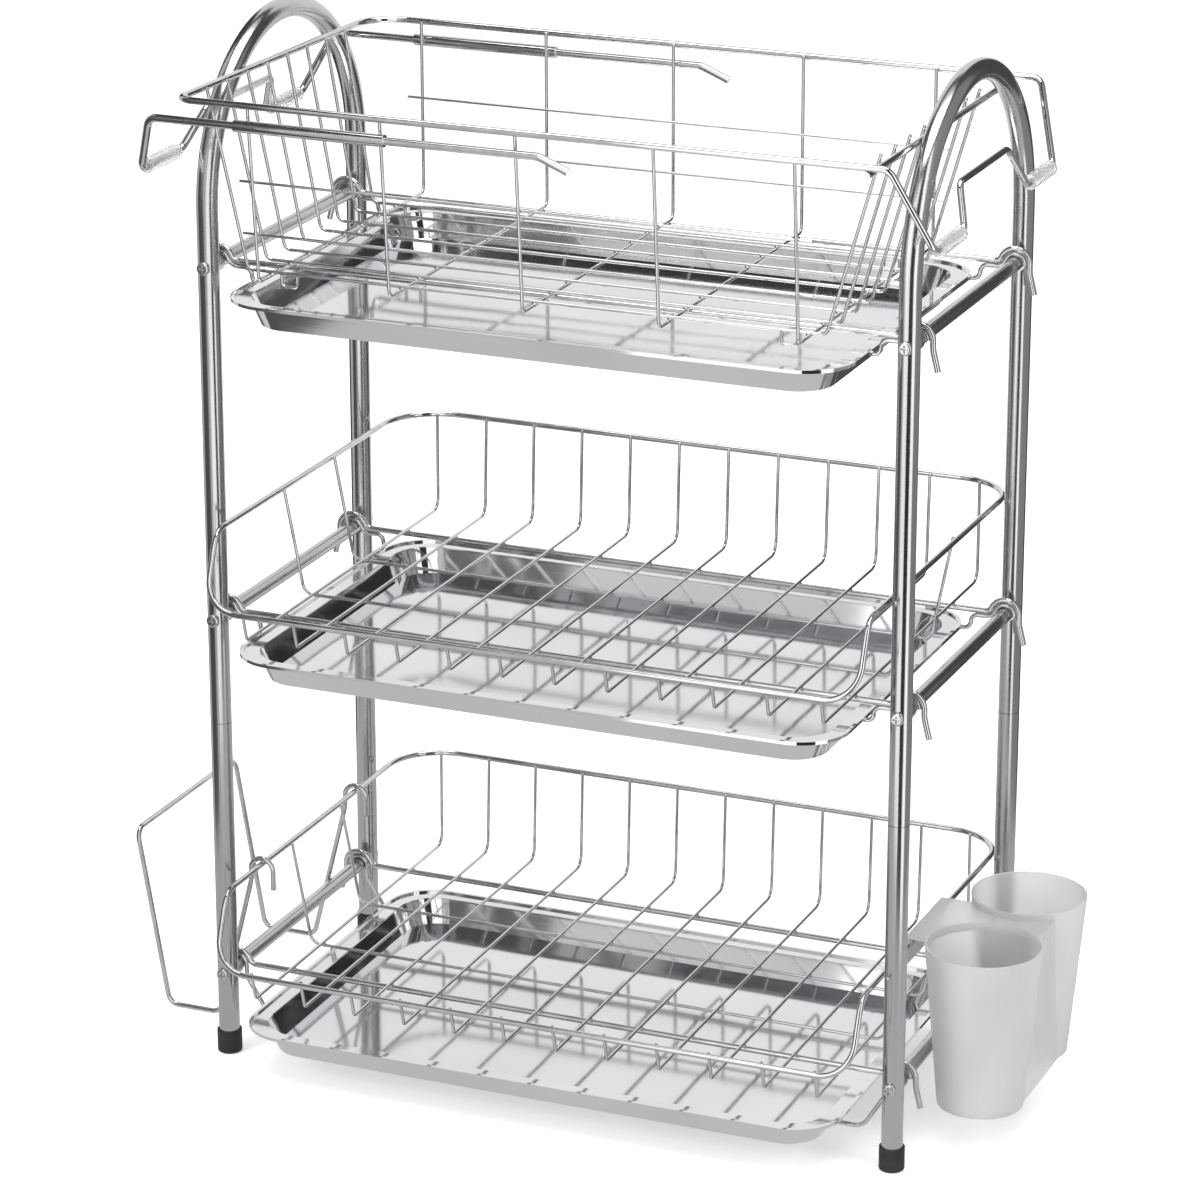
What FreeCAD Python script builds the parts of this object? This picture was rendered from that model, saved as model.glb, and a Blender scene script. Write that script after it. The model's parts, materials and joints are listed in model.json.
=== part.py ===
import FreeCAD, Part

import math
import os

# A three-tier dish drying rack: two hoop-topped side frames joined by wire shelves.
# Each tier carries a slide-out drip tray. The middle and lower tiers carry a welded dish
# basket, and an over-the-sink basket with one telescoping arm stands on the upper tier.
# Millimetres. While building, x runs across the rack from the axis of the left legs,
# y runs back from the axis of the front legs and z is height above the floor.
# At the end everything is moved so that the origin is the middle of the overall footprint.

Vec = FreeCAD.Vector

# ---- side frames ----
FRAME_WIDTH = 540.0        # left leg axis to right leg axis
FRAME_DEPTH = 250.0        # front leg axis to rear leg axis
LEG_OD = 16.0
LEG_WALL = 1.0
ARCH_CENTRE_Z = 665.0      # the hoop is a half circle on straight legs
SEAM_Z = 271.0             # where the upper hoop plugs onto the lower legs
SEAM_GAP = 0.6
SPIGOT_LENGTH = 30.0
SPIGOT_GAP = 0.1
FOOT_OD = 19.0
FOOT_HEIGHT = 18.0
FOOT_SOLE = 4.0
FOOT_ROUNDING = 1.5
CROSS_OD = 11.0
CROSS_WALL = 1.0
FERRULE_OD = 13.5
FERRULE_LENGTH = 5.0
TIER_Z = {"upper": 624.5, "middle": 353.0, "lower": 66.0}

# ---- screws and plugs ----
SCREW_HEAD_D = 10.0
SCREW_HEAD_H = 3.0
SCREW_SHANK_D = 4.0
SCREW_HEAD_ROUNDING = 1.8
SCREW_LENGTH = 26.0
RECESS_WIDTH = 1.2
RECESS_SPAN = 5.4
RECESS_DEPTH = 1.6
PLUG_LENGTH = 14.0
PLUG_GAP = 0.05

# ---- wires ----
SHELF_WIRE = 4.5
RAIL_WIRE = 3.5
RIM_WIRE = 4.5
THIN_WIRE = 2.5
STIFFENER_WIRE = 2.0
SHELF_INSET = 17.0         # shelf wire to leg axis, front and rear
SHELF_RISE = 1.0           # shelf wire above the cross tube axis
TAIL_BEND_DROP = 6.0       # hook's outer leg: straight, then flared away from the tube
TAIL_DROP = 22.0
TAIL_FLARE = 4.0
TAIL_BEND = 20.0
HOOK_FILLET = 6.0
CONTACT_GAP = 0.05         # between welded wires that cross
FIT_GAP = 0.3              # between parts that slide or lift off
WIRE_OVERRUN = 1.0         # welded wire's end above its rim's axis

# ---- trays ----
RAIL_DROP = 14.0           # rail wire below the cross tube axis
RAIL_OFFSET = 35.0         # rail wire inward of the cross tube axis
RAIL_BEND_START = 21.0
DROP_WIRE_Z = 21.0         # wires under the lower tray
DROP_BEND_X = 29.0
DROP_KNEE_DROP = 10.0      # knee of the wire below the cross tube axis
DROP_KNEE_BEND = 16.0
DROP_FLOOR_BEND = 12.0
TRAY_SIDE_GAP = 31.5       # leg axis to the tray's rim
TRAY_FRONT = -57.0
TRAY_REAR = 258.0
TRAY_DEPTH = 19.0
TRAY_SHEET = 0.9
TRAY_FLANGE = 12.0
TRAY_TAPER = 7.0
TRAY_CORNER = 38.0
TRAY_CORNER_SHRINK = 0.6   # corner radius lost for each millimetre inside the rim
TRAY_BEAD_WIDTH = 2.6
TRAY_BEAD_HEIGHT = 2.4

# ---- dish baskets ----
BASKET_LEFT = 19.0
BASKET_RIGHT = 527.0
BASKET_RIM_RISE = 82.0     # rim above the cross tube axis
BASKET_LIP_RISE = 26.0     # lowered front run of the rim
BASKET_REAR = 297.0
BASKET_FRONT_BEND = -36.0
BASKET_FRONT = -58.0
BASKET_CORNER = 45.0
BASKET_BEND = 18.0
BASKET_LIP_CORNER = 26.0
DISH_WIRE_COUNT = 12
DISH_WIRE_FIRST = 48.0
DISH_WIRE_PITCH = 41.0
DISH_FLOOR_FRONT = -48.0
DISH_FLOOR_REAR = 290.0
DISH_REAR_BEND = 10.0
DISH_FRONT_BEND = 3.0
SIDE_WIRE_YS = (69.0, 156.0)
SIDE_WIRE_FOOT = 19.0      # side wire's lower bend inward of the rim
SIDE_WIRE_BEND = 9.0

# ---- over-sink basket ----
SINK_RIM_WIRE = 5.0
SINK_RIM_Z = 762.0
SINK_LEFT_FRONT = 8.0      # the left end of the rim slants slightly
SINK_LEFT_REAR = 20.0
SINK_RIGHT = 528.0
SINK_FRONT = -58.0
SINK_REAR = 243.0
SINK_FLOOR_LEFT = 43.0
SINK_FLOOR_RIGHT = 487.0
SINK_FLOOR_FRONT = -42.0
SINK_FLOOR_REAR = 240.0
SINK_BEND = 6.0
SINK_FRONT_CORNER = 12.0
SINK_REAR_CORNER = 30.0
LONG_WIRE_COUNT = 8
LONG_WIRE_FIRST = -21.0
LONG_WIRE_PITCH = 30.0
CROSS_WIRE_COUNT = 5
CROSS_WIRE_FIRST = 62.0
CROSS_WIRE_PITCH = 103.0
STIFFENER_ZS = (704.0, 665.0)
STIFFENER_OVERRUN = 11.0
LOOP_WIDTH = 12.0
LOOP_DROP = 7.5
LOOP_BEND = 3.0
LOOP_INSET = 14.0          # loop's middle inward of the outermost cross wires
HANDLE_X = 573.0           # low, gripped runs of the fixed right end
HANDLE_BAR_X = 563.0       # raised middle bar
HANDLE_LOW_Z = 706.0
HANDLE_BAR_Z = 735.0
HANDLE_TURN_XS = (543.0, 552.0)   # where the rim turns down, front and rear
HANDLE_LOW_YS = (-48.0, 14.0, 152.0, 212.0)
HANDLE_BAR_YS = (31.0, 135.0)
HANDLE_BEND = 9.0
GRIP_OD = 11.0
GRIP_LENGTH = 46.0
GRIP_GAP = 0.05

# ---- sliding arm ----
ARM_WIRE = 5.8
SLEEVE_OD = 9.0
SLEEVE_PLAY = 0.08         # radial, between arm and sleeve
SLEEVE_LEFT = 54.0
SLEEVE_RIGHT = 171.0
SLEEVE_Z = 747.0
ARM_TIP_X = 288.0
ARM_TIP_LENGTH = 22.0
ARM_TIP_DROP = 9.0
ARM_LOW_X = -27.0
ARM_BAR_X = -14.0

# ---- cutlery cup ----
CUP_X = 584.0
CUP_YS = (69.0, 175.0)
CUP_BOTTOM = 32.0
CUP_TOP = 157.0
CUP_TOP_R = 43.5
CUP_BASE_R = 32.0
CUP_WALL = 1.8
CUP_FLOOR = 2.2
CUP_WEB_LEFT = 14.0
CUP_WEB_RIGHT = 30.0
CUP_WEB_DROP = 5.0
CUP_FLANGE_YS = (72.0, 153.0)
CUP_FLANGE_T = 2.0
CUP_LIP_DROP = 20.0

# ---- board holder ----
HOLDER_WIRE = 4.0
HOLDER_YS = (24.0, 190.0)
HOLDER_HOOK_R = 9.3
HOLDER_TAIL = 15.0
HOLDER_INNER_X = -20.0
HOLDER_OUTER_X = -64.0
HOLDER_TOP_X = -88.0
HOLDER_BOTTOM_Z = 18.0
HOLDER_TOP_Z = 160.0
HOLDER_BEND = 9.0
HOLDER_KNEE_DROP = 9.0     # knee below the end of the hook
HOLDER_KNEE_BEND = 30.0

OUT = "parts"
OVERCUT = 1.0              # how far a cutting body reaches past the surface it opens
NUDGE = 0.001              # keeps two cutting faces from lying in one plane

LEFT_X = 0.0
RIGHT_X = FRAME_WIDTH
FRONT_Y = 0.0
REAR_Y = FRAME_DEPTH
LEG_R = LEG_OD / 2.0
LEG_BORE = LEG_OD - 2.0 * LEG_WALL
SCREW_HOLE_D = SCREW_SHANK_D + 2.0 * PLUG_GAP
CROSS_R = CROSS_OD / 2.0
ALONG_Y = Vec(0, 1, 0)
UP = Vec(0, 0, 1)

# A hook's inner wire lies on the cross tube and the shelf wire lies on the inner wire.
INNER_HOOK_R = CROSS_R + RAIL_WIRE / 2.0 + CONTACT_GAP
SHELF_HOOK_R = INNER_HOOK_R + (RAIL_WIRE + SHELF_WIRE) / 2.0 + CONTACT_GAP
SHELF_YS = (SHELF_INSET, FRAME_DEPTH - SHELF_INSET)
SHELF_TOP = SHELF_RISE + SHELF_WIRE / 2.0


# ---------------------------------------------------------------- paths and wires

def line(start, end):
    return Part.LineSegment(start, end).toShape()


def arc(start, middle, end):
    return Part.Arc(start, middle, end).toShape()


def corner_arc(before, corner, after, radius):
    """The arc that rounds one corner of a bent wire, with its two tangent points."""
    inward = (before - corner).normalize()
    onward = (after - corner).normalize()
    half_angle = inward.getAngle(onward) / 2.0
    reach = radius / math.tan(half_angle)
    start = corner + inward * reach
    end = corner + onward * reach
    bisector = (inward + onward).normalize()
    middle = corner + bisector * (radius / math.sin(half_angle) - radius)
    return start, arc(start, middle, end), end


def bent_path(corners, radii):
    """Edges of an open path through the corners, each inner corner rounded."""
    edges = []
    here = corners[0]
    for index in range(1, len(corners) - 1):
        start, bend, end = corner_arc(corners[index - 1], corners[index], corners[index + 1],
                                      radii[index - 1])
        if here.distanceToPoint(start) > 1e-4:
            edges.append(line(here, start))
        edges.append(bend)
        here = end
    edges.append(line(here, corners[-1]))
    return edges


def closed_path(corners, radii):
    """Edges of a closed path whose corners are all rounded."""
    count = len(corners)
    bends = [corner_arc(corners[i - 1], corners[i], corners[(i + 1) % count], radii[i])
             for i in range(count)]
    edges = []
    for index in range(count):
        edges.append(bends[index][1])
        edges.append(line(bends[index][2], bends[(index + 1) % count][0]))
    return edges


def sweep(edges, diameter):
    """A round wire of the given diameter along the edges."""
    spine = Part.Wire(Part.__sortEdges__(edges))
    first = spine.OrderedEdges[0]
    start = spine.OrderedVertexes[0].Point
    tangent = first.tangentAt(first.FirstParameter)
    circle = Part.Wire([Part.Circle(start, tangent, diameter / 2.0).toShape()])
    return Part.Solid(spine.makePipeShell([circle], True, False))


def bent_wire(corners, radii, diameter):
    return sweep(bent_path(corners, radii), diameter)


def closed_wire(corners, radii, diameter):
    """A wire welded end to end: two halves that meet in the middle of a straight."""
    half = len(corners) // 2
    seam = (corners[-1] + corners[0]) * 0.5
    far_seam = (corners[half - 1] + corners[half]) * 0.5
    there = bent_wire([seam] + corners[:half] + [far_seam], radii[:half], diameter)
    back = bent_wire([far_seam] + corners[half:] + [seam], radii[half:], diameter)
    return there.fuse(back).removeSplitter()


def rod(start, end, diameter):
    return Part.makeCylinder(diameter / 2.0, start.distanceToPoint(end), start, end - start)


def tube(start, end, outer, bore):
    return rod(start, end, outer).cut(rod(start, end, bore))


# ---------------------------------------------------------------- side frames

def hoop_spine(x):
    top = Vec(x, FRAME_DEPTH / 2.0, ARCH_CENTRE_Z + FRAME_DEPTH / 2.0)
    front = Vec(x, FRONT_Y, ARCH_CENTRE_Z)
    rear = Vec(x, REAR_Y, ARCH_CENTRE_Z)
    return [line(Vec(x, FRONT_Y, SEAM_Z), front),
            arc(front, top, rear),
            line(rear, Vec(x, REAR_Y, SEAM_Z))]


def screw_holes(x, y):
    """Clearance holes through a leg for the screws of every tier."""
    through = LEG_R + OVERCUT
    return [rod(Vec(x, y - through, z), Vec(x, y + through, z), SCREW_HOLE_D)
            for z in TIER_Z.values()]


def hoop(x):
    solid = sweep(hoop_spine(x), LEG_OD).cut(sweep(hoop_spine(x), LEG_BORE))
    for y in (FRONT_Y, REAR_Y):
        for hole in screw_holes(x, y):
            solid = solid.cut(hole)
    return solid


def lower_leg(x, y):
    """The lower tube with the reduced spigot that plugs up into the hoop."""
    spigot_od = LEG_BORE - 2.0 * SPIGOT_GAP
    bottom = Vec(x, y, SEAM_Z - SPIGOT_LENGTH)
    seam = Vec(x, y, SEAM_Z - SEAM_GAP)
    body = tube(Vec(x, y, FOOT_SOLE), seam, LEG_OD, LEG_BORE)
    spigot = tube(bottom, Vec(x, y, SEAM_Z + SPIGOT_LENGTH), spigot_od,
                  spigot_od - 2.0 * LEG_WALL)
    collar = tube(bottom, seam, LEG_BORE + LEG_WALL, spigot_od - LEG_WALL)
    solid = body.fuse([spigot, collar]).removeSplitter()
    for hole in screw_holes(x, y):
        solid = solid.cut(hole)
    return solid


def foot(x, y):
    """A rubber cap that is closed underneath."""
    cap = rod(Vec(x, y, 0), Vec(x, y, FOOT_HEIGHT), FOOT_OD)
    underside = [edge for edge in cap.Edges if edge.BoundBox.ZMax < NUDGE]
    cap = cap.makeFillet(FOOT_ROUNDING, underside)
    return cap.cut(rod(Vec(x, y, FOOT_SOLE), Vec(x, y, FOOT_HEIGHT + OVERCUT), LEG_OD))


def cross_tube(x, z):
    """A tube between front and rear leg with a wider ferrule at each end."""
    front = Vec(x, FRONT_Y, z)
    rear = Vec(x, REAR_Y, z)
    solid = rod(front, rear, CROSS_OD)
    reach = LEG_R + FERRULE_LENGTH
    solid = solid.fuse([rod(front, front + ALONG_Y * reach, FERRULE_OD),
                        rod(rear - ALONG_Y * reach, rear, FERRULE_OD)])
    solid = solid.cut(rod(front, rear, CROSS_OD - 2.0 * CROSS_WALL))
    for y in (FRONT_Y, REAR_Y):
        solid = solid.cut(rod(Vec(x, y, z - FERRULE_OD), Vec(x, y, z + FERRULE_OD), LEG_OD))
    return solid.removeSplitter()


def outward(y):
    """Direction out of the rack at a front or rear leg."""
    return ALONG_Y if y == REAR_Y else ALONG_Y * -1.0


def plug(x, y, z):
    """The threaded plug inside the end of a cross tube."""
    start = Vec(x, y, z) - outward(y) * (LEG_R + PLUG_GAP)
    end = start - outward(y) * PLUG_LENGTH
    plug_od = CROSS_OD - 2.0 * (CROSS_WALL + PLUG_GAP)
    return tube(start, end, plug_od, SCREW_HOLE_D)


def screw(x, y, z):
    """A pan-head screw with a cross recess, through the leg into the plug."""
    seat = Vec(x, y, z) + outward(y) * (LEG_R + PLUG_GAP)
    tip = seat - outward(y) * SCREW_LENGTH
    crown = seat + outward(y) * SCREW_HEAD_H
    head = rod(seat, crown, SCREW_HEAD_D)
    rounded = [edge for edge in head.Edges
               if abs(edge.BoundBox.Center.y - crown.y) < NUDGE and edge.Closed]
    head = head.makeFillet(SCREW_HEAD_ROUNDING, rounded)
    solid = head.fuse(rod(seat, tip, SCREW_SHANK_D))
    floor = crown - outward(y) * RECESS_DEPTH
    mouth = crown + outward(y) * OVERCUT
    low_y = min(floor.y, mouth.y)
    for wide, tall in ((RECESS_SPAN, RECESS_WIDTH), (RECESS_WIDTH, RECESS_SPAN)):
        corner = Vec(x - wide / 2.0, low_y, z - tall / 2.0)
        solid = solid.cut(Part.makeBox(wide, RECESS_DEPTH + OVERCUT, tall, corner))
    return solid


def leg_positions():
    return {"front_left": (LEFT_X, FRONT_Y), "rear_left": (LEFT_X, REAR_Y),
            "front_right": (RIGHT_X, FRONT_Y), "rear_right": (RIGHT_X, REAR_Y)}


def fastened_points():
    return [(x, y, z) for x, y in leg_positions().values() for z in TIER_Z.values()]


# ---------------------------------------------------------------- shelf and rail wires

class Side:
    """Maps distances inward of a cross tube axis, and above it, to the rack."""

    def __init__(self, x, y, z):
        self.inward = 1.0 if x < FRAME_WIDTH / 2.0 else -1.0
        self.x = x
        self.y = y
        self.z = z

    def at(self, inward, above):
        return Vec(self.x + self.inward * inward, self.y, self.z + above)


def hook_over_tube(side, hook_r, fillet_r, run_height):
    """Tail, arc over the tube and fillet into a level run; also the point it ends at."""
    centre_rise = run_height + fillet_r
    span = hook_r + fillet_r
    centre_in = math.sqrt(span ** 2 - centre_rise ** 2)
    share = hook_r / span
    joint = side.at(share * centre_in, share * centre_rise)
    end = side.at(centre_in, run_height)
    half = (math.atan2(centre_rise, centre_in) + math.pi / 2.0) / 2.0
    middle = side.at(centre_in - fillet_r * math.cos(half),
                     centre_rise - fillet_r * math.sin(half))
    edges = [arc(side.at(-hook_r, 0), side.at(0, hook_r), joint), arc(joint, middle, end)]
    return edges, end


def shelf_wire(y, z):
    """A thick wire across the rack that hooks over both cross tubes."""
    edges = []
    ends = []
    for x in (LEFT_X, RIGHT_X):
        side = Side(x, y, z)
        hook, end = hook_over_tube(side, SHELF_HOOK_R, HOOK_FILLET, SHELF_RISE)
        edges += hook
        edges += bent_path([side.at(-SHELF_HOOK_R - TAIL_FLARE, -TAIL_DROP),
                            side.at(-SHELF_HOOK_R, -TAIL_BEND_DROP),
                            side.at(-SHELF_HOOK_R, 0)], [TAIL_BEND])
        ends.append(end)
    edges.append(line(ends[0], ends[1]))
    return sweep(edges, SHELF_WIRE)


def rail_end(x, y, z, toward_middle):
    """One end of a tray rail: hook, level run, S-bend down and turn along the tray."""
    side = Side(x, y, z)
    step = SHELF_HOOK_R - INNER_HOOK_R
    run = SHELF_RISE - step
    edges, level = hook_over_tube(side, INNER_HOOK_R, HOOK_FILLET + step, run)
    s_radius = (run + RAIL_DROP) / 2.0
    turn = RAIL_OFFSET - RAIL_BEND_START - 2.0 * s_radius
    bend_start = side.at(RAIL_BEND_START, run)
    diagonal = s_radius * math.sqrt(0.5)
    half_way = side.at(RAIL_BEND_START + s_radius, run - s_radius)
    bottom = side.at(RAIL_OFFSET - turn, -RAIL_DROP)
    edges.append(line(level, bend_start))
    edges.append(arc(bend_start,
                     side.at(RAIL_BEND_START + diagonal, run - s_radius + diagonal), half_way))
    edges.append(arc(half_way,
                     side.at(RAIL_OFFSET - turn - diagonal, -RAIL_DROP + s_radius - diagonal),
                     bottom))
    rail = side.at(RAIL_OFFSET, -RAIL_DROP) + ALONG_Y * (toward_middle * turn)
    bulge = turn * (1.0 - math.sqrt(0.5))
    middle = side.at(RAIL_OFFSET - bulge, -RAIL_DROP) + ALONG_Y * (toward_middle * bulge)
    edges.append(arc(bottom, middle, rail))
    return edges, rail


def tray_rail(x, z):
    """The wire a tray's side rim slides on, hooked over the cross tube at both ends."""
    front_edges, front_end = rail_end(x, SHELF_YS[0], z, 1.0)
    rear_edges, rear_end = rail_end(x, SHELF_YS[1], z, -1.0)
    return sweep(front_edges + [line(front_end, rear_end)] + rear_edges, RAIL_WIRE)


def drop_wire(y, z):
    """The wire under the lower tray: hooks over both cross tubes and drops between."""
    edges = []
    lows = []
    drop = z - DROP_WIRE_Z
    for x in (LEFT_X, RIGHT_X):
        side = Side(x, y, z)
        edges.append(arc(side.at(-INNER_HOOK_R, 0), side.at(0, INNER_HOOK_R),
                         side.at(INNER_HOOK_R, 0)))
        end = side.at(DROP_BEND_X * 2.0, -drop)
        edges += bent_path([side.at(INNER_HOOK_R, 0), side.at(INNER_HOOK_R, -DROP_KNEE_DROP),
                            side.at(DROP_BEND_X, -drop), end],
                           [DROP_KNEE_BEND, DROP_FLOOR_BEND])
        lows.append(end)
    edges.append(line(lows[0], lows[1]))
    return sweep(edges, RAIL_WIRE)


# ---------------------------------------------------------------- trays

def rounded_outline(inset, z):
    """A tray outline at height z, set in from the rim by inset."""
    left = LEFT_X + TRAY_SIDE_GAP + inset
    right = RIGHT_X - TRAY_SIDE_GAP - inset
    front = TRAY_FRONT + inset
    rear = TRAY_REAR - inset
    corners = [Vec(left, front, z), Vec(right, front, z), Vec(right, rear, z),
               Vec(left, rear, z)]
    radius = TRAY_CORNER - inset * TRAY_CORNER_SHRINK
    return Part.Wire(closed_path(corners, [radius] * 4))


def tapered_block(top_inset, bottom_inset, top_z, bottom_z):
    return Part.makeLoft([rounded_outline(top_inset, top_z),
                          rounded_outline(bottom_inset, bottom_z)], True, True)


def plate(inset, z, height):
    return Part.Face(rounded_outline(inset, z)).extrude(Vec(0, 0, height))


def tray(rim_underside):
    """A pressed sheet tray: flat flange with a rolled edge round a tapered well."""
    top = rim_underside + TRAY_SHEET
    bottom = rim_underside - TRAY_DEPTH
    well_inset = TRAY_FLANGE
    floor_inset = TRAY_FLANGE + TRAY_TAPER
    flange = plate(0.0, rim_underside, TRAY_SHEET)
    bead = plate(0.0, rim_underside, TRAY_BEAD_HEIGHT)
    bead = bead.cut(plate(TRAY_BEAD_WIDTH, rim_underside - OVERCUT,
                          TRAY_BEAD_HEIGHT + 2.0 * OVERCUT))
    outer = tapered_block(well_inset, floor_inset, top, bottom)
    inner = tapered_block(well_inset + TRAY_SHEET, floor_inset + TRAY_SHEET, top + NUDGE,
                          bottom + TRAY_SHEET)
    mouth = plate(well_inset + TRAY_SHEET, rim_underside - NUDGE, TRAY_SHEET + OVERCUT)
    return flange.fuse([bead, outer]).cut(inner.fuse(mouth)).removeSplitter()


def hung_tray(z):
    return tray(z - RAIL_DROP + RAIL_WIRE / 2.0 + FIT_GAP)


def lower_tray():
    return tray(DROP_WIRE_Z + RAIL_WIRE / 2.0 + FIT_GAP + TRAY_DEPTH)


# ---------------------------------------------------------------- dish baskets

def dish_rim(z):
    """The closed rim: level at the back and sides, stepping down to the front run."""
    high = z + BASKET_RIM_RISE
    low = z + BASKET_LIP_RISE
    corners = [Vec(BASKET_LEFT, BASKET_REAR, high), Vec(BASKET_LEFT, BASKET_FRONT_BEND, high),
               Vec(BASKET_LEFT, BASKET_FRONT, low), Vec(BASKET_RIGHT, BASKET_FRONT, low),
               Vec(BASKET_RIGHT, BASKET_FRONT_BEND, high), Vec(BASKET_RIGHT, BASKET_REAR, high)]
    radii = [BASKET_CORNER, BASKET_BEND, BASKET_LIP_CORNER, BASKET_LIP_CORNER, BASKET_BEND,
             BASKET_CORNER]
    return closed_wire(corners, radii, RIM_WIRE)


def rim_to_wire():
    """Spacing of a thin wire welded against the inside of a rim."""
    return (RIM_WIRE + THIN_WIRE) / 2.0 + CONTACT_GAP


def rear_wire_top(x):
    """How far back a dish wire's top is at x, following the rim's rounded corners."""
    into_corner = max(0.0, BASKET_LEFT + BASKET_CORNER - x, x - BASKET_RIGHT + BASKET_CORNER)
    radius = BASKET_CORNER - rim_to_wire()
    return BASKET_REAR - BASKET_CORNER + math.sqrt(radius ** 2 - into_corner ** 2)


def dish_wire(x, z):
    """One front-to-back wire: up to the rear rim, flat floor, sharp turn to the front rim."""
    floor = z + SHELF_TOP + THIN_WIRE / 2.0 + CONTACT_GAP
    inside = rim_to_wire()
    corners = [Vec(x, rear_wire_top(x), z + BASKET_RIM_RISE + WIRE_OVERRUN),
               Vec(x, DISH_FLOOR_REAR, floor), Vec(x, DISH_FLOOR_FRONT, floor),
               Vec(x, BASKET_FRONT + inside, z + BASKET_LIP_RISE + WIRE_OVERRUN)]
    return bent_wire(corners, [DISH_REAR_BEND, DISH_FRONT_BEND], THIN_WIRE)


def side_wire(y, z):
    """One left-to-right wire under the dish wires, with an upright at each side."""
    floor = z + SHELF_TOP - THIN_WIRE / 2.0 - CONTACT_GAP
    high = z + BASKET_RIM_RISE + WIRE_OVERRUN
    inside = rim_to_wire()
    corners = [Vec(BASKET_LEFT + inside, y, high), Vec(BASKET_LEFT + SIDE_WIRE_FOOT, y, floor),
               Vec(BASKET_RIGHT - SIDE_WIRE_FOOT, y, floor), Vec(BASKET_RIGHT - inside, y, high)]
    return bent_wire(corners, [SIDE_WIRE_BEND, SIDE_WIRE_BEND], THIN_WIRE)


def dish_wires(z):
    return [dish_wire(DISH_WIRE_FIRST + i * DISH_WIRE_PITCH, z) for i in range(DISH_WIRE_COUNT)]


def side_wires(z):
    return [side_wire(y, z) for y in SIDE_WIRE_YS]


# ---------------------------------------------------------------- over-sink basket

def sink_floor():
    """Height of the cross wires that stand on the upper shelf wires."""
    return TIER_Z["upper"] + SHELF_TOP + FIT_GAP + THIN_WIRE / 2.0


def sink_rim():
    """Rim of the over-sink basket; its right end drops into a handle."""
    y1, y2, y3, y4 = HANDLE_LOW_YS
    front_turn_x, rear_turn_x = HANDLE_TURN_XS
    corners = [Vec(SINK_LEFT_REAR, SINK_REAR, SINK_RIM_Z),
               Vec(SINK_LEFT_FRONT, SINK_FRONT, SINK_RIM_Z),
               Vec(front_turn_x, SINK_FRONT, SINK_RIM_Z), Vec(HANDLE_X, y1, HANDLE_LOW_Z),
               Vec(HANDLE_X, y2, HANDLE_LOW_Z), Vec(HANDLE_BAR_X, HANDLE_BAR_YS[0], HANDLE_BAR_Z),
               Vec(HANDLE_BAR_X, HANDLE_BAR_YS[1], HANDLE_BAR_Z),
               Vec(HANDLE_X, y3, HANDLE_LOW_Z), Vec(HANDLE_X, y4, HANDLE_LOW_Z),
               Vec(rear_turn_x, SINK_REAR, SINK_RIM_Z)]
    radii = [SINK_REAR_CORNER, SINK_FRONT_CORNER] + [HANDLE_BEND] * (len(corners) - 2)
    return closed_wire(corners, radii, SINK_RIM_WIRE)


def sink_end_bar():
    """The separate bar that closes the right end of the basket, under the rim runs."""
    under = SINK_RIM_Z - SINK_RIM_WIRE - CONTACT_GAP
    return rod(Vec(SINK_RIGHT, SINK_FRONT - SINK_RIM_WIRE / 2.0, under),
               Vec(SINK_RIGHT, SINK_REAR + SINK_RIM_WIRE / 2.0, under), SINK_RIM_WIRE)


def sink_inside():
    """Spacing of a thin wire welded against the inside of the over-sink basket's rim."""
    return (SINK_RIM_WIRE + THIN_WIRE) / 2.0 + CONTACT_GAP


def left_rim_x(y):
    """Where the slanting left end of the rim stands at y."""
    share = (y - SINK_FRONT) / (SINK_REAR - SINK_FRONT)
    return SINK_LEFT_FRONT + (SINK_LEFT_REAR - SINK_LEFT_FRONT) * share


def long_wire(y):
    """One left-to-right U wire of the basket, lying on the cross wires."""
    floor = sink_floor() + THIN_WIRE + CONTACT_GAP
    top = SINK_RIM_Z + WIRE_OVERRUN
    corners = [Vec(left_rim_x(y) + sink_inside(), y, top), Vec(SINK_FLOOR_LEFT, y, floor),
               Vec(SINK_FLOOR_RIGHT, y, floor), Vec(SINK_RIGHT - sink_inside(), y, top)]
    return bent_wire(corners, [SINK_BEND, SINK_BEND], THIN_WIRE)


def cross_wire(x):
    """One front-to-back U wire of the basket."""
    top = SINK_RIM_Z + WIRE_OVERRUN
    corners = [Vec(x, SINK_FRONT + sink_inside(), top), Vec(x, SINK_FLOOR_FRONT, sink_floor()),
               Vec(x, SINK_FLOOR_REAR, sink_floor()), Vec(x, SINK_REAR - sink_inside(), top)]
    return bent_wire(corners, [SINK_BEND, SINK_BEND], THIN_WIRE)


def cross_wire_xs():
    return [CROSS_WIRE_FIRST + i * CROSS_WIRE_PITCH for i in range(CROSS_WIRE_COUNT)]


def face_y(rim_y, floor_y, z):
    """Where a cross wire's leg, between rim and floor, stands at height z."""
    share = (SINK_RIM_Z - z) / (SINK_RIM_Z - sink_floor())
    return rim_y + (floor_y - rim_y) * share


def stiffeners():
    """Thin level wires inside the front and rear faces."""
    left = CROSS_WIRE_FIRST - STIFFENER_OVERRUN
    right = cross_wire_xs()[-1] + STIFFENER_OVERRUN
    reach = (THIN_WIRE + STIFFENER_WIRE) / 2.0 + CONTACT_GAP
    wires = []
    for z in STIFFENER_ZS:
        front = face_y(SINK_FRONT + sink_inside(), SINK_FLOOR_FRONT, z) + reach
        rear = face_y(SINK_REAR - sink_inside(), SINK_FLOOR_REAR, z) - reach
        for y in (front, rear):
            wires.append(rod(Vec(left, y, z), Vec(right, y, z), STIFFENER_WIRE))
    return wires


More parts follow.
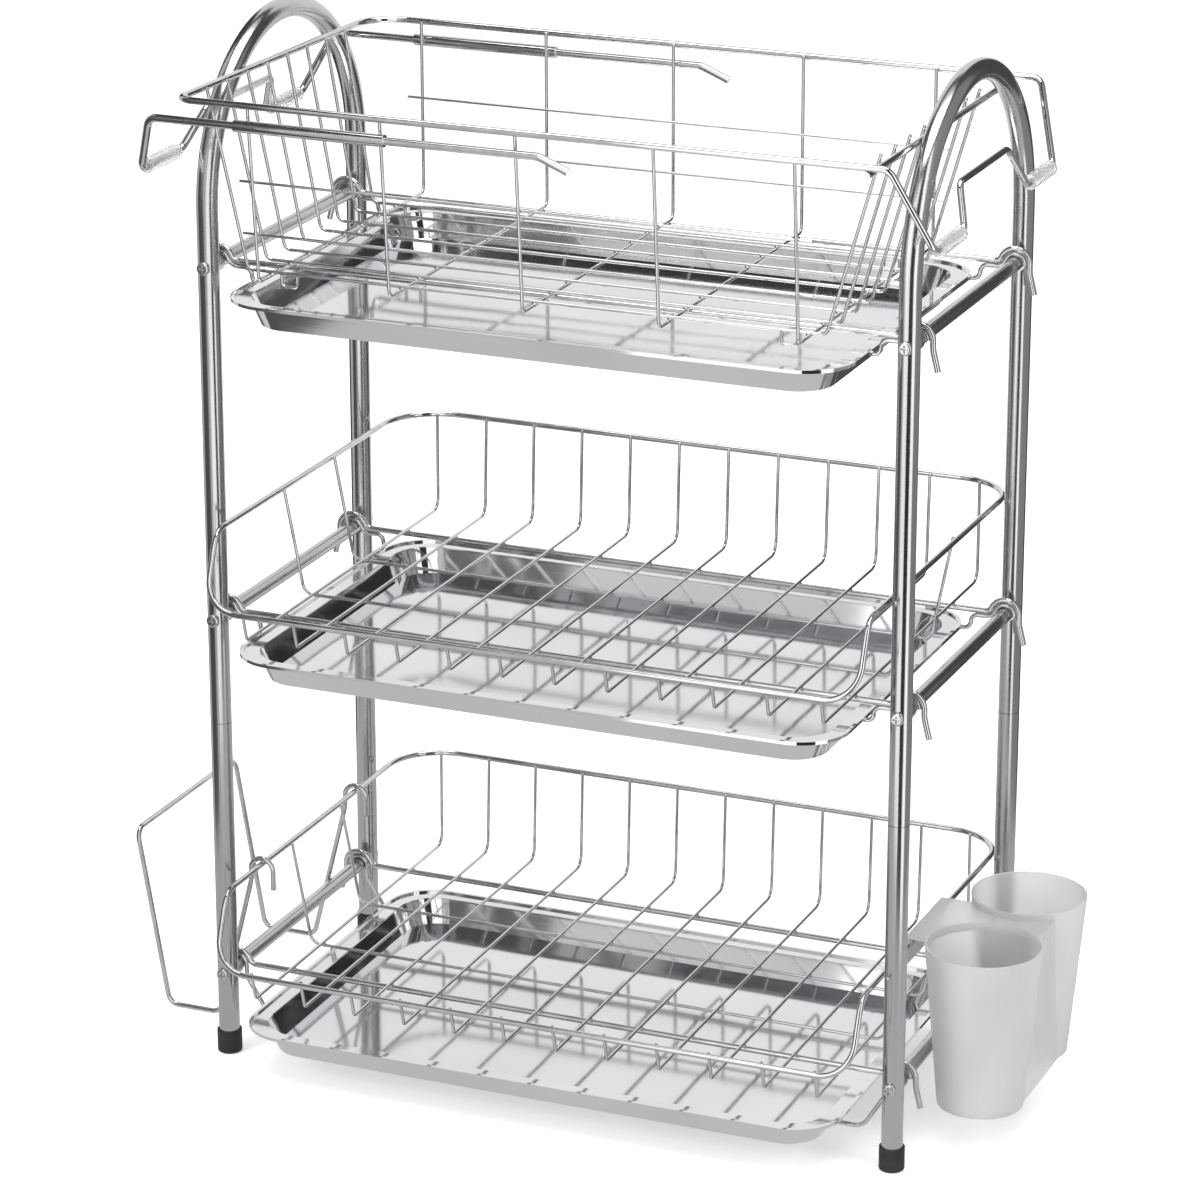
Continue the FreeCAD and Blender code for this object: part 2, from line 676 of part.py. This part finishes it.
def foot_loop(x, y):
    """A small U-shaped foot under one corner of the basket's floor."""
    top = sink_floor() + THIN_WIRE / 2.0
    low = sink_floor() - LOOP_DROP
    half = LOOP_WIDTH / 2.0
    corners = [Vec(x - half, y, top), Vec(x - half, y, low), Vec(x + half, y, low),
               Vec(x + half, y, top)]
    return bent_wire(corners, [LOOP_BEND, LOOP_BEND], THIN_WIRE)


def foot_loops():
    last_long_y = LONG_WIRE_FIRST + (LONG_WIRE_COUNT - 1) * LONG_WIRE_PITCH
    xs = (CROSS_WIRE_FIRST + LOOP_INSET, cross_wire_xs()[-1] - LOOP_INSET)
    return [foot_loop(x, y) for x in xs for y in (LONG_WIRE_FIRST, last_long_y)]


def sleeve_ys():
    """Axes of the two sleeves, outside the basket's front and rear faces."""
    reach = (THIN_WIRE + SLEEVE_OD) / 2.0 + CONTACT_GAP
    front = face_y(SINK_FRONT + sink_inside(), SINK_FLOOR_FRONT, SLEEVE_Z) - reach
    rear = face_y(SINK_REAR - sink_inside(), SINK_FLOOR_REAR, SLEEVE_Z) + reach
    return front, rear


def sleeves():
    return [tube(Vec(SLEEVE_LEFT, y, SLEEVE_Z), Vec(SLEEVE_RIGHT, y, SLEEVE_Z), SLEEVE_OD,
                 ARM_WIRE + 2.0 * SLEEVE_PLAY) for y in sleeve_ys()]


def grips(x, wire_d):
    """Soft sleeves round the two low runs of a handle."""
    solids = []
    for start_y, end_y in (HANDLE_LOW_YS[:2], HANDLE_LOW_YS[2:]):
        middle = (start_y + end_y) / 2.0
        start = Vec(x, middle - GRIP_LENGTH / 2.0, HANDLE_LOW_Z)
        end = Vec(x, middle + GRIP_LENGTH / 2.0, HANDLE_LOW_Z)
        solids.append(tube(start, end, GRIP_OD, wire_d + 2.0 * GRIP_GAP))
    return solids


# ---------------------------------------------------------------- sliding arm

def arm():
    """One bent rod: both ends run through the sleeves, the middle is the left handle."""
    front, rear = sleeve_ys()
    y1, y2, y3, y4 = HANDLE_LOW_YS
    tip_z = SLEEVE_Z - ARM_TIP_DROP
    corners = [Vec(ARM_TIP_X + ARM_TIP_LENGTH, front, tip_z), Vec(ARM_TIP_X, front, SLEEVE_Z),
               Vec(ARM_BAR_X, front, SLEEVE_Z), Vec(ARM_LOW_X, y1, HANDLE_LOW_Z),
               Vec(ARM_LOW_X, y2, HANDLE_LOW_Z), Vec(ARM_BAR_X, HANDLE_BAR_YS[0], HANDLE_BAR_Z),
               Vec(ARM_BAR_X, HANDLE_BAR_YS[1], HANDLE_BAR_Z), Vec(ARM_LOW_X, y3, HANDLE_LOW_Z),
               Vec(ARM_LOW_X, y4, HANDLE_LOW_Z), Vec(ARM_BAR_X, rear, SLEEVE_Z),
               Vec(ARM_TIP_X, rear, SLEEVE_Z), Vec(ARM_TIP_X + ARM_TIP_LENGTH, rear, tip_z)]
    return bent_wire(corners, [HANDLE_BEND] * (len(corners) - 2), ARM_WIRE)


# ---------------------------------------------------------------- cutlery cup

def barrel(y, shrink, bottom, top):
    """A tapered barrel of the cup, its wall moved in by shrink."""
    slope = (CUP_TOP_R - CUP_BASE_R) / (CUP_TOP - CUP_BOTTOM)
    low_r = CUP_BASE_R + slope * (bottom - CUP_BOTTOM) - shrink
    high_r = CUP_BASE_R + slope * (top - CUP_BOTTOM) - shrink
    return Part.makeCone(low_r, high_r, top - bottom, Vec(CUP_X, y, bottom))


def cup_web():
    """The hollow bridge between the two barrels, open underneath."""
    length = CUP_YS[1] - CUP_YS[0]
    width = CUP_WEB_LEFT + CUP_WEB_RIGHT
    height = CUP_TOP - CUP_WEB_DROP - CUP_BOTTOM
    corner = Vec(CUP_X - CUP_WEB_LEFT, CUP_YS[0], CUP_BOTTOM)
    outer = Part.makeBox(width, length, height, corner)
    inner = Part.makeBox(width - 2.0 * CUP_WALL, length, height - CUP_WALL + OVERCUT,
                         corner + Vec(CUP_WALL, 0, -OVERCUT))
    return outer.cut(inner)


def cup_flange():
    """The plate and lip that hang the cup over the lower basket's right rim."""
    rim_z = TIER_Z["lower"] + BASKET_RIM_RISE
    under = rim_z + RIM_WIRE / 2.0 + FIT_GAP
    lip_x = BASKET_RIGHT - RIM_WIRE / 2.0 - FIT_GAP - CUP_FLANGE_T
    y1, y2 = CUP_FLANGE_YS
    reach = CUP_X - CUP_WEB_LEFT + CUP_WALL
    cover = Part.makeBox(reach - lip_x, y2 - y1, CUP_FLANGE_T, Vec(lip_x, y1, under))
    lip = Part.makeBox(CUP_FLANGE_T, y2 - y1, CUP_LIP_DROP, Vec(lip_x, y1, under - CUP_LIP_DROP))
    return cover.fuse(lip)


def cutlery_cup():
    shell = cup_web().fuse(cup_flange())
    for y in CUP_YS:
        shell = shell.fuse(barrel(y, 0.0, CUP_BOTTOM, CUP_TOP))
    for y in CUP_YS:
        shell = shell.cut(barrel(y, CUP_WALL, CUP_BOTTOM + CUP_FLOOR, CUP_TOP + OVERCUT))
    return shell.removeSplitter()


# ---------------------------------------------------------------- board holder

def holder_hook(y):
    """Tail and arc over the rim, as edges that end where the slanting leg starts."""
    rim_z = TIER_Z["lower"] + BASKET_RIM_RISE
    apex = rim_z + (RIM_WIRE + HOLDER_WIRE) / 2.0 + FIT_GAP
    centre_z = apex - HOLDER_HOOK_R
    inner = Vec(BASKET_LEFT + HOLDER_HOOK_R, y, centre_z)
    outer = Vec(BASKET_LEFT - HOLDER_HOOK_R, y, centre_z)
    top = Vec(BASKET_LEFT, y, apex)
    return [line(inner - UP * HOLDER_TAIL, inner), arc(inner, top, outer)], outer


def board_holder():
    """One bent wire: two hooks on the lower basket's left rim and a loop outside it."""
    front_y, rear_y = HOLDER_YS
    front_hook, front_start = holder_hook(front_y)
    rear_hook, rear_start = holder_hook(rear_y)
    knee = UP * -HOLDER_KNEE_DROP
    corners = [front_start, front_start + knee, Vec(HOLDER_INNER_X, front_y, HOLDER_BOTTOM_Z),
               Vec(HOLDER_OUTER_X, front_y, HOLDER_BOTTOM_Z),
               Vec(HOLDER_TOP_X, front_y, HOLDER_TOP_Z), Vec(HOLDER_TOP_X, rear_y, HOLDER_TOP_Z),
               Vec(HOLDER_OUTER_X, rear_y, HOLDER_BOTTOM_Z),
               Vec(HOLDER_INNER_X, rear_y, HOLDER_BOTTOM_Z), rear_start + knee, rear_start]
    radii = [HOLDER_KNEE_BEND] + [HOLDER_BEND] * (len(corners) - 4) + [HOLDER_KNEE_BEND]
    return sweep(front_hook + bent_path(corners, radii) + rear_hook, HOLDER_WIRE)


# ---------------------------------------------------------------- all nodes

def build():
    """Every node of the rack as a list of solids, by name."""
    nodes = {"hoop_left": [hoop(LEFT_X)], "hoop_right": [hoop(RIGHT_X)]}
    for name, (x, y) in leg_positions().items():
        nodes["lower_leg_" + name] = [lower_leg(x, y)]
        nodes["foot_" + name] = [foot(x, y)]
    for tier, z in TIER_Z.items():
        nodes["cross_tube_" + tier + "_left"] = [cross_tube(LEFT_X, z)]
        nodes["cross_tube_" + tier + "_right"] = [cross_tube(RIGHT_X, z)]
        nodes["shelf_wire_" + tier + "_front"] = [shelf_wire(SHELF_YS[0], z)]
        nodes["shelf_wire_" + tier + "_rear"] = [shelf_wire(SHELF_YS[1], z)]
    for tier in ("upper", "middle"):
        nodes["tray_rail_" + tier + "_left"] = [tray_rail(LEFT_X, TIER_Z[tier])]
        nodes["tray_rail_" + tier + "_right"] = [tray_rail(RIGHT_X, TIER_Z[tier])]
        nodes["tray_" + tier] = [hung_tray(TIER_Z[tier])]
    nodes["tray_wire_lower_front"] = [drop_wire(SHELF_YS[0], TIER_Z["lower"])]
    nodes["tray_wire_lower_rear"] = [drop_wire(SHELF_YS[1], TIER_Z["lower"])]
    nodes["tray_lower"] = [lower_tray()]
    for tier in ("middle", "lower"):
        nodes["dish_rim_" + tier] = [dish_rim(TIER_Z[tier])]
        nodes["dish_wires_" + tier] = dish_wires(TIER_Z[tier])
        nodes["side_wires_" + tier] = side_wires(TIER_Z[tier])
    nodes["screws"] = [screw(*point) for point in fastened_points()]
    nodes["tube_plugs"] = [plug(*point) for point in fastened_points()]
    nodes["sink_basket_rim"] = [sink_rim()]
    nodes["sink_basket_end_bar"] = [sink_end_bar()]
    nodes["sink_basket_long_wires"] = [long_wire(LONG_WIRE_FIRST + i * LONG_WIRE_PITCH)
                                       for i in range(LONG_WIRE_COUNT)]
    nodes["sink_basket_cross_wires"] = [cross_wire(x) for x in cross_wire_xs()]
    nodes["sink_basket_stiffeners"] = stiffeners()
    nodes["sink_basket_foot_loops"] = foot_loops()
    nodes["sink_basket_sleeves"] = sleeves()
    nodes["sink_basket_grips"] = grips(HANDLE_X, SINK_RIM_WIRE)
    nodes["sliding_arm"] = [arm()]
    nodes["sliding_arm_grips"] = grips(ARM_LOW_X, ARM_WIRE)
    nodes["cutlery_cup"] = [cutlery_cup()]
    nodes["board_holder"] = [board_holder()]
    return nodes


def footprint_centre(nodes):
    everything = Part.makeCompound([solid for solids in nodes.values() for solid in solids])
    box = everything.BoundBox
    return Vec(box.Center.x, box.Center.y, 0.0)


def main():
    os.makedirs(OUT, exist_ok=True)
    nodes = build()
    centre = footprint_centre(nodes)
    for name, solids in nodes.items():
        shape = solids[0] if len(solids) == 1 else Part.makeCompound(solids)
        shape.translate(centre * -1.0)
        shape.exportStep(os.path.join(OUT, name + ".step"))
        print(name, len(solids), "valid" if shape.isValid() else "INVALID",
              round(shape.Volume, 1))
    print("footprint centre", centre)


main()
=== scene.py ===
# Looks for the three-tier dish drying rack: brushed tubes, chromed wire, bright trays,
# a frosted cup and clear grips, on a pale floor in soft light. All sizes are in metres.

import json
import math

import bmesh
import bpy
from mathutils import Matrix, Vector


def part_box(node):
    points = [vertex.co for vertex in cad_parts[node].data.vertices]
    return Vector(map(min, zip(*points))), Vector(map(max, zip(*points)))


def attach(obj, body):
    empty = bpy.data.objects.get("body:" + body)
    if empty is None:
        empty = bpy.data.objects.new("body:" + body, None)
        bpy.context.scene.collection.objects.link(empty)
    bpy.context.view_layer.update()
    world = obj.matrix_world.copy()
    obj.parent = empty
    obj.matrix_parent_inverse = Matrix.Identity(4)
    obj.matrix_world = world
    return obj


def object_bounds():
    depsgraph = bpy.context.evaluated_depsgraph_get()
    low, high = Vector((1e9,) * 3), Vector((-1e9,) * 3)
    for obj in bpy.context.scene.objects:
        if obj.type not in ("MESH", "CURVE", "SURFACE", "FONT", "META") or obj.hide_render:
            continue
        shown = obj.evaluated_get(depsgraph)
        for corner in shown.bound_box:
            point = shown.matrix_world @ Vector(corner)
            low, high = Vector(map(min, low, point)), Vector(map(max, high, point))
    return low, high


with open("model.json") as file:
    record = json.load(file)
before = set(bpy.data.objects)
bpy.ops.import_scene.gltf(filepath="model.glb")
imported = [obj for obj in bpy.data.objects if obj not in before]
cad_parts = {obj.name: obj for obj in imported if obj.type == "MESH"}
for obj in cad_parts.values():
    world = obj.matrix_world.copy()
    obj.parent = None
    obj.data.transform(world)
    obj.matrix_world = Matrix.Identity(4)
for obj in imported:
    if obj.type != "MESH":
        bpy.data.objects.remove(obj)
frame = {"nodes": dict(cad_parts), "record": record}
cad_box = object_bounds()

# ---- camera: seen from the front right, from above ----
CAMERA_BEARING = math.radians(22.759)
CAMERA_PITCH = math.radians(19.144)
CAMERA_PLACE = Vector((1.3085, -3.1425, 1.5461))
CAMERA_LENS = 144.56
SENSOR = 36.0
CLIP_NEAR = 0.05
CLIP_FAR = 100.0

# ---- floor and room ----
FLOOR_SIZE = 40.0
FLOOR_DROP = 0.0004
FLOOR_GLOW = 0.3
FLOOR_WHITE = (0.9, 0.9, 0.9, 1.0)
MIRRORED_FLOOR_GREY = 0.62     # the floor as polished metal sees it
WHITE = (1.0, 1.0, 1.0, 1.0)
BLACK = (0.0, 0.0, 0.0, 1.0)
ROOM_STRENGTH = 0.75

# ---- softboxes: name, place, the point it faces, its two sides and its power in watts ----
SOFTBOXES = (("top_softbox", (0.2, -0.6, 3.2), (0.0, 0.0, 0.3), (3.0, 3.0), 90.0),
             ("front_softbox", (-1.6, -3.0, 1.8), (0.0, 0.0, 0.4), (1.6, 2.2), 60.0),
             ("right_softbox", (3.0, -0.8, 1.6), (0.0, 0.0, 0.4), (1.0, 2.0), 30.0))

# ---- a ring of panels that stands round the rack and that only shiny surfaces see ----
RING_RADIUS = 0.75
RING_HEIGHT = 1.5
RING_STEP = 5.0                # degrees of the ring that one flat strip covers
# Bearings at which a panel starts and stops, in degrees from the camera's side of the ring,
# and the panel's brightness. Light beside dark draws the long stripes of polished tube.
PANELS = ((-180.0, -143.0, 0.95), (-143.0, -108.0, 0.08), (-108.0, -50.0, 0.32),
          (-50.0, -32.0, 1.7), (-32.0, -4.0, 0.03), (-4.0, 34.0, 1.5), (34.0, 56.0, 0.6),
          (56.0, 100.0, 0.1), (100.0, 122.0, 0.7), (122.0, 148.0, 0.06), (148.0, 180.0, 0.95))
# The dark valance hangs above the panels and draws the dark line along level wires.
VALANCE_HEIGHT = 0.5
VALANCE_GREY = 0.04

# ---- wires and weld beads ----
THIN_WIRE_R = 0.00125
DISH_WIRE_COUNT = 12
SIDE_WIRE_COUNT = 2
LONG_WIRE_COUNT = 8
CROSS_WIRE_COUNT = 5
BEAD_R = 0.0017
BEAD_STRETCH = 1.5             # along the upper wire
BEAD_FLATTEN = 0.7
BEAD_SUBDIVISIONS = 2


# ---------------------------------------------------------------- material helpers

def new_material(name):
    """A node material; returns it with its node tree and its shader."""
    material = bpy.data.materials.new(name)
    material.use_nodes = True
    tree = material.node_tree
    return material, tree, tree.nodes["Principled BSDF"]


def set_values(node, **values):
    """Sets a node's inputs; an underscore stands for the space in an input's name."""
    for key, value in values.items():
        node.inputs[key.replace("_", " ")].default_value = value


def add_node(tree, kind, **values):
    node = tree.nodes.new(kind)
    set_values(node, **values)
    return node


def cells(tree, per_metre, detail):
    """Noise on the object's own coordinates, with so many cells a metre along each axis."""
    coordinates = tree.nodes.new("ShaderNodeTexCoord")
    mapping = add_node(tree, "ShaderNodeMapping", Scale=per_metre)
    texture = add_node(tree, "ShaderNodeTexNoise", Scale=1.0, Detail=detail, Roughness=0.55)
    tree.links.new(coordinates.outputs["Object"], mapping.inputs["Vector"])
    tree.links.new(mapping.outputs["Vector"], texture.inputs["Vector"])
    return texture.outputs["Fac"]


def tint(tree, shader, value, dark, light):
    """Colours the surface between two tones that follow the noise."""
    ramp = tree.nodes.new("ShaderNodeValToRGB")
    first, last = ramp.color_ramp.elements
    first.position = 0.3
    first.color = (*dark, 1.0)
    last.position = 0.7
    last.color = (*light, 1.0)
    tree.links.new(value, ramp.inputs["Fac"])
    tree.links.new(ramp.outputs["Color"], shader.inputs["Base Color"])


def roughen(tree, shader, value, low, high):
    """Lets the roughness follow the noise between two values."""
    spread = add_node(tree, "ShaderNodeMapRange", To_Min=low, To_Max=high)
    tree.links.new(value, spread.inputs["Value"])
    tree.links.new(spread.outputs["Result"], shader.inputs["Roughness"])


def emboss(tree, shader, height, strength, distance):
    """Adds a fine bump; a second call lays a finer bump over the first."""
    bump = add_node(tree, "ShaderNodeBump", Strength=strength, Distance=distance)
    tree.links.new(height, bump.inputs["Height"])
    for link in shader.inputs["Normal"].links:
        tree.links.new(link.from_socket, bump.inputs["Normal"])
    tree.links.new(bump.outputs["Normal"], shader.inputs["Normal"])


# ---------------------------------------------------------------- materials

def brushed_tube():
    """Stainless tube with fine lengthwise draw lines and faint handling smudges."""
    material, tree, shader = new_material("brushed_tube_steel")
    streaks = cells(tree, (900.0, 900.0, 14.0), detail=4.0)
    smudges = cells(tree, (9.0, 9.0, 5.0), detail=2.0)
    tint(tree, shader, smudges, dark=(0.52, 0.525, 0.53), light=(0.6, 0.6, 0.605))
    roughen(tree, shader, smudges, low=0.14, high=0.24)
    emboss(tree, shader, streaks, strength=0.12, distance=0.0002)
    set_values(shader, Metallic=1.0)
    return material


def chrome_wire():
    """Bright plated wire, very slightly uneven along its length."""
    material, tree, shader = new_material("chrome_wire")
    ripple = cells(tree, (60.0, 60.0, 60.0), detail=2.0)
    tint(tree, shader, ripple, dark=(0.6, 0.6, 0.61), light=(0.72, 0.72, 0.73))
    roughen(tree, shader, ripple, low=0.05, high=0.13)
    emboss(tree, shader, ripple, strength=0.05, distance=0.0004)
    set_values(shader, Metallic=1.0)
    return material


def tray_sheet():
    """Bright rolled sheet: reflective, with slow waviness under a soft roll grain."""
    material, tree, shader = new_material("tray_sheet_steel")
    grain = cells(tree, (14.0, 700.0, 700.0), detail=4.0)
    waves = cells(tree, (7.0, 9.0, 9.0), detail=1.0)
    tint(tree, shader, waves, dark=(0.72, 0.73, 0.745), light=(0.8, 0.805, 0.81))
    roughen(tree, shader, grain, low=0.05, high=0.1)
    emboss(tree, shader, waves, strength=0.25, distance=0.002)
    emboss(tree, shader, grain, strength=0.06, distance=0.0001)
    set_values(shader, Metallic=1.0)
    return material


def screw_steel():
    """Plated screws with fine wear."""
    material, tree, shader = new_material("screw_plating")
    wear = cells(tree, (400.0, 400.0, 400.0), detail=3.0)
    tint(tree, shader, wear, dark=(0.5, 0.5, 0.51), light=(0.68, 0.68, 0.7))
    roughen(tree, shader, wear, low=0.15, high=0.32)
    set_values(shader, Metallic=1.0)
    return material


def foot_rubber():
    """Matt black moulded rubber with a fine pebble and a little dust."""
    material, tree, shader = new_material("foot_rubber")
    pebble = cells(tree, (900.0, 900.0, 900.0), detail=3.0)
    dust = cells(tree, (60.0, 60.0, 90.0), detail=3.0)
    tint(tree, shader, dust, dark=(0.006, 0.006, 0.006), light=(0.016, 0.016, 0.016))
    roughen(tree, shader, dust, low=0.5, high=0.75)
    emboss(tree, shader, pebble, strength=0.35, distance=0.0003)
    return material


def plug_plastic():
    """Dark moulded plastic of the plugs inside the cross tubes."""
    material, tree, shader = new_material("plug_plastic")
    mottle = cells(tree, (300.0, 300.0, 300.0), detail=2.0)
    tint(tree, shader, mottle, dark=(0.05, 0.05, 0.05), light=(0.09, 0.09, 0.09))
    roughen(tree, shader, mottle, low=0.45, high=0.6)
    return material


def cup_plastic():
    """Frosted polypropylene: light passes through it but no clear image does."""
    material, tree, shader = new_material("cup_frosted_plastic")
    frost = cells(tree, (260.0, 260.0, 260.0), detail=4.0)
    cloud = cells(tree, (22.0, 22.0, 9.0), detail=3.0)
    tint(tree, shader, cloud, dark=(0.67, 0.67, 0.675), light=(0.74, 0.745, 0.75))
    roughen(tree, shader, frost, low=0.28, high=0.4)
    emboss(tree, shader, frost, strength=0.12, distance=0.0003)
    set_values(shader, Transmission_Weight=0.6, IOR=1.25)
    return material


def clear_grip():
    """Clear soft sleeve, faintly cloudy, through which the rod shows."""
    material, tree, shader = new_material("clear_grip_vinyl")
    cloud = cells(tree, (120.0, 60.0, 120.0), detail=3.0)
    tint(tree, shader, cloud, dark=(0.86, 0.87, 0.88), light=(0.95, 0.955, 0.96))
    roughen(tree, shader, cloud, low=0.08, high=0.22)
    emboss(tree, shader, cloud, strength=0.1, distance=0.0005)
    set_values(shader, Transmission_Weight=0.85, IOR=1.4)
    return material


MAKERS = {"brushed_tube": brushed_tube, "chrome_wire": chrome_wire, "tray_sheet": tray_sheet,
          "screw_steel": screw_steel, "foot_rubber": foot_rubber, "plug_plastic": plug_plastic,
          "cup_plastic": cup_plastic, "clear_grip": clear_grip}


def dress_frame():
    """Gives every CAD node the finish of its material slot; returns the finishes."""
    finishes = {name: make() for name, make in MAKERS.items()}
    slot_of = {part["node"]: part["material_slot"] for part in frame["record"]["subparts"]}
    for name, node in frame["nodes"].items():
        node.data.materials.clear()
        node.data.materials.append(finishes[slot_of[name]])
    return finishes


# ---------------------------------------------------------------- new objects

def new_object(name, data):
    """An object of the given mesh, light or camera, linked into the scene."""
    piece = bpy.data.objects.new(name, data)
    bpy.context.scene.collection.objects.link(piece)
    return piece


def mesh_object(name, build, material):
    """Turns a finished bmesh into an object of one material."""
    mesh = bpy.data.meshes.new(name)
    build.to_mesh(mesh)
    build.free()
    mesh.materials.append(material)
    return new_object(name, mesh)


# ---------------------------------------------------------------- weld beads

def wire_places(node, axis, count):
    """Centre lines of a node's evenly spaced thin wires along x (0) or y (1)."""
    low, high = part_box(node)
    first = low[axis] + THIN_WIRE_R
    last = high[axis] - THIN_WIRE_R
    return [first + (last - first) * index / (count - 1) for index in range(count)]


def middle_y(node):
    low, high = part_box(node)
    return (low.y + high.y) / 2.0


def bead_piece(name, places, along, body, finish):
    """Flattened weld nuggets at the places, longer along the upper wire's axis."""
    stretch = [1.0, 1.0, BEAD_FLATTEN]
    stretch[along] = BEAD_STRETCH
    build = bmesh.new()
    for place in places:
        shape = Matrix.Translation(place) @ Matrix.Diagonal((*stretch, 1.0))
        bmesh.ops.create_icosphere(build, subdivisions=BEAD_SUBDIVISIONS, radius=BEAD_R,
                                   matrix=shape)
    for face in build.faces:
        face.smooth = True
    piece = mesh_object(name, build, finish)
    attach(piece, body)


def dish_welds(tier, finish):
    """Beads where the dish wires sit on the shelf wires and on the side wires."""
    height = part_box("side_wires_" + tier)[0].z + 2.0 * THIN_WIRE_R
    shelf_ys = [middle_y("shelf_wire_" + tier + place) for place in ("_front", "_rear")]
    ys = shelf_ys + wire_places("side_wires_" + tier, 1, SIDE_WIRE_COUNT)
    xs = wire_places("dish_wires_" + tier, 0, DISH_WIRE_COUNT)
    places = [Vector((x, y, height)) for x in xs for y in ys]
    bead_piece("weld_beads_" + tier, places, 1, "rack", finish)


def sink_welds(finish):
    """Beads where the long wires cross the cross wires of the over-sink basket's floor."""
    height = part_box("sink_basket_cross_wires")[0].z + 2.0 * THIN_WIRE_R
    ys = wire_places("sink_basket_long_wires", 1, LONG_WIRE_COUNT)
    xs = wire_places("sink_basket_cross_wires", 0, CROSS_WIRE_COUNT)
    places = [Vector((x, y, height)) for x in xs for y in ys]
    bead_piece("weld_beads_sink_basket", places, 0, "sink_basket", finish)


# ---------------------------------------------------------------- stage and light

def glow(name, brightness):
    """A material that shines evenly and reflects nothing."""
    material, _, shader = new_material(name)
    set_values(shader, Base_Color=BLACK, Specular_IOR_Level=0.0, Emission_Color=WHITE,
               Emission_Strength=brightness)
    return material


def floor_paper():
    """Pale matt paper, lifted a little so that it stays near white."""
    material, _, shader = new_material("floor_paper")
    set_values(shader, Base_Color=FLOOR_WHITE, Roughness=0.9, Emission_Color=WHITE,
               Emission_Strength=FLOOR_GLOW)
    return material


def stage_object(name, build, material):
    piece = mesh_object(name, build, material)
    return piece


def only_in_reflections(piece):
    piece.visible_camera = False
    piece.visible_diffuse = False
    piece.visible_shadow = False
    piece.visible_transmission = False


def plane(name, height, material):
    build = bmesh.new()
    bmesh.ops.create_grid(build, x_segments=1, y_segments=1, size=FLOOR_SIZE / 2.0)
    piece = stage_object(name, build, material)
    piece.location = Vector((0.0, 0.0, height))
    return piece


def floor():
    """The paper that the camera sees, and the grey plane that shiny surfaces see instead."""
    low = cad_box[0].z - FLOOR_DROP
    paper = plane("floor", low, floor_paper())
    paper.visible_glossy = False
    mirrored = plane("floor_in_reflections", low - FLOOR_DROP,
                     glow("floor_reflection", MIRRORED_FLOOR_GREY))
    only_in_reflections(mirrored)


def ring_panel(name, start, stop, foot_z, top_z, brightness):
    """One curved panel of the ring, between two bearings from the camera's side."""
    strips = max(1, round((stop - start) / RING_STEP))
    build = bmesh.new()
    columns = []
    for index in range(strips + 1):
        bearing = math.radians(start + (stop - start) * index / strips) - CAMERA_BEARING
        x = -math.sin(bearing) * RING_RADIUS
        y = -math.cos(bearing) * RING_RADIUS
        columns.append((build.verts.new((x, y, foot_z)), build.verts.new((x, y, top_z))))
    for (foot, top), (next_foot, next_top) in zip(columns, columns[1:]):
        build.faces.new((foot, next_foot, next_top, top))
    only_in_reflections(stage_object(name, build, glow(name, brightness)))


def reflection_ring():
    for index, (start, stop, brightness) in enumerate(PANELS):
        ring_panel(f"panel_{index}", start, stop, 0.0, RING_HEIGHT, brightness)
    ring_panel("valance", -180.0, 180.0, RING_HEIGHT, RING_HEIGHT + VALANCE_HEIGHT,
               VALANCE_GREY)


def softbox(name, place, target, sides, power):
    data = bpy.data.lights.new(name, "AREA")
    data.shape = "RECTANGLE"
    data.size, data.size_y = sides
    data.energy = power
    lamp = new_object(name, data)
    lamp.location = place
    lamp.rotation_euler = (Vector(target) - Vector(place)).to_track_quat("-Z", "Y").to_euler()


def studio_room():
    """An even pale room."""
    world = bpy.data.worlds.new("studio")
    bpy.context.scene.world = world
    world.use_nodes = True
    set_values(world.node_tree.nodes["Background"], Color=WHITE, Strength=ROOM_STRENGTH)


def camera():
    data = bpy.data.cameras.new("camera")
    data.lens = CAMERA_LENS
    data.sensor_width = SENSOR
    data.clip_start = CLIP_NEAR
    data.clip_end = CLIP_FAR
    holder = new_object("camera", data)
    holder.location = CAMERA_PLACE
    holder.rotation_euler = (math.pi / 2.0 - CAMERA_PITCH, 0.0, CAMERA_BEARING)
    bpy.context.scene.camera = holder


finishes = dress_frame()
for tier in ("middle", "lower"):
    dish_welds(tier, finishes["chrome_wire"])
sink_welds(finishes["chrome_wire"])
floor()
reflection_ring()
studio_room()
for softbox_values in SOFTBOXES:
    softbox(*softbox_values)
camera()
bpy.context.scene.view_settings.view_transform = "Standard"
